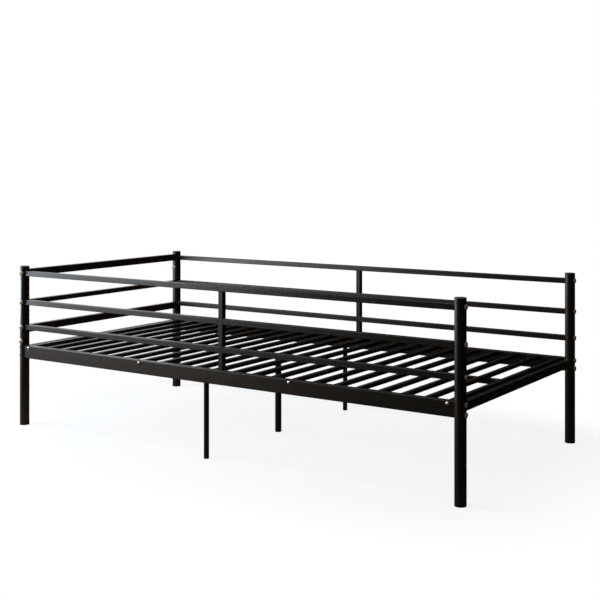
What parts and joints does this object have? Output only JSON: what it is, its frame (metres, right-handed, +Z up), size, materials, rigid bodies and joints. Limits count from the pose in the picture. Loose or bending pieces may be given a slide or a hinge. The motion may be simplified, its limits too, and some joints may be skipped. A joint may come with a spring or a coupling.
{
  "type": "metal bed frame",
  "caption": "Tubular steel single bed frame with round corner posts, guard rails along both sides and one end, and steel slats on side beams and legs under the middle.",
  "frame": {"origin": "on the floor under the middle of the bed", "axes": "+X along the bed towards the open end, +Y to the back side, +Z up"},
  "size_m": [1.9828, 0.9938, 0.64],
  "materials": {
    "frame_coat": "satin black powder coat",
    "deck_coat": "satin black powder coat",
    "cap_plastic": "moulded, fine grain",
    "bolt_zinc": "warm zinc plating",
    "washer_black": "plain"
  },
  "bodies": {
    "root": {"post_front_left": "frame_coat", "post_front_right": "frame_coat", "post_back_left": "frame_coat", "post_back_right": "frame_coat", "front_top_rail": "frame_coat", "front_middle_rail": "frame_coat", "front_lower_rail": "frame_coat", "front_divider": "frame_coat", "front_side_beam": "frame_coat", "front_leg": "frame_coat", "back_top_rail": "frame_coat", "back_middle_rail": "frame_coat", "back_lower_rail": "frame_coat", "back_divider": "frame_coat", "back_side_beam": "frame_coat", "back_leg": "frame_coat", "end_top_rail": "frame_coat", "end_middle_rail": "frame_coat", "end_lower_rail": "frame_coat", "left_end_beam": "frame_coat", "right_end_beam": "frame_coat", "centre_leg": "frame_coat", "rail_stubs": "frame_coat", "end_beam_stubs": "frame_coat", "slat_01": "deck_coat", "slat_02": "deck_coat", "slat_03": "deck_coat", "slat_04": "deck_coat", "slat_05": "deck_coat", "slat_06": "deck_coat", "slat_07": "deck_coat", "slat_08": "deck_coat", "slat_09": "deck_coat", "slat_10": "deck_coat", "slat_11": "deck_coat", "slat_12": "deck_coat", "slat_13": "deck_coat", "slat_14": "deck_coat", "slat_15": "deck_coat", "slat_16": "deck_coat", "slat_17": "deck_coat", "slat_18": "deck_coat", "slat_19": "deck_coat", "slat_20": "deck_coat", "slat_21": "deck_coat", "slat_22": "deck_coat", "slat_23": "deck_coat", "centre_beam": "deck_coat", "centre_beam_seats": "deck_coat", "cap_front_left": "cap_plastic", "cap_front_right": "cap_plastic", "cap_back_left": "cap_plastic", "cap_back_right": "cap_plastic", "post_feet": "cap_plastic", "side_leg_feet": "cap_plastic", "centre_leg_foot": "cap_plastic", "frame_bolts": "bolt_zinc", "spare_hole_bolts": "bolt_zinc", "deck_bolts": "bolt_zinc", "deck_washers": "washer_black"}
  },
  "joints": []
}
